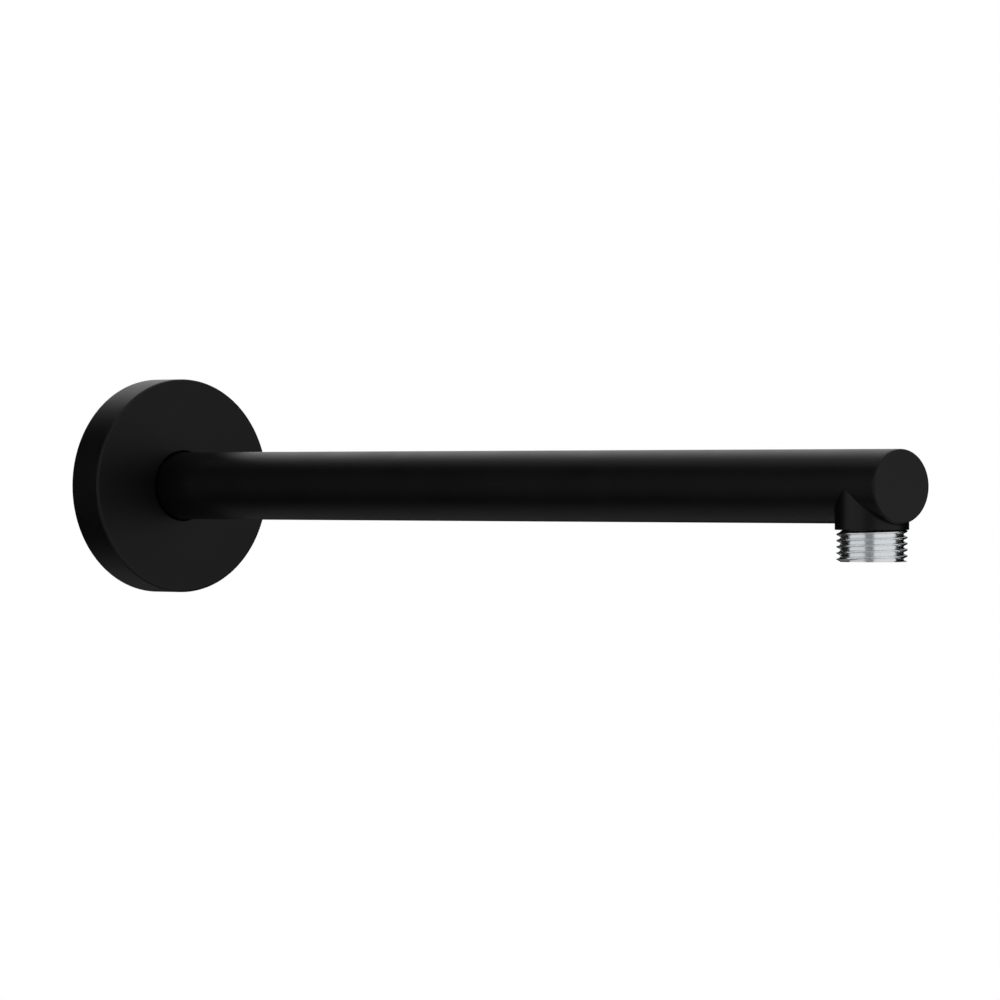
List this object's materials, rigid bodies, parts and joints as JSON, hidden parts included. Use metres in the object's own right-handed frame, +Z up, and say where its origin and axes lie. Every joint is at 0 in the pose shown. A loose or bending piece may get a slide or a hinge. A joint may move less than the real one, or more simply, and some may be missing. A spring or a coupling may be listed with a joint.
{
  "type": "shower arm",
  "caption": "Straight matte black wall shower arm: round tube with a flat end, a threaded outlet facing down near that end, and a round cover flange that slides on the tube.",
  "frame": {"origin": "on the arm's axis in the wall plane, inside the span of the inlet thread", "axes": "+Z up, +Y into the wall along the inlet thread, -Y out along the arm, the outlet faces -Z"},
  "size_m": [0.07, 0.3789, 0.07],
  "materials": {
    "black_coat": "fine matte black coat on brass",
    "bright_plate": "bright chrome plate on brass",
    "ring_rubber": "moulded black rubber"
  },
  "bodies": {
    "arm": {"arm_tube": "black_coat", "end_cap": "black_coat", "outlet_boss": "black_coat", "outlet_nipple": "bright_plate", "inlet_nipple": "bright_plate"},
    "ring": {"flange_ring": "ring_rubber"},
    "flange": {"wall_flange": "black_coat"}
  },
  "joints": [
    {"name": "flange_slide", "type": "slide", "parent": "arm", "child": "ring", "axis": [0, -1, 0], "range_m": [0, 0.3245]},
    {"name": "flange_turn", "type": "hinge", "parent": "ring", "child": "flange", "pos_m": [0, -0.0088, 0], "axis": [0, 1, 0], "continuous": true}
  ]
}
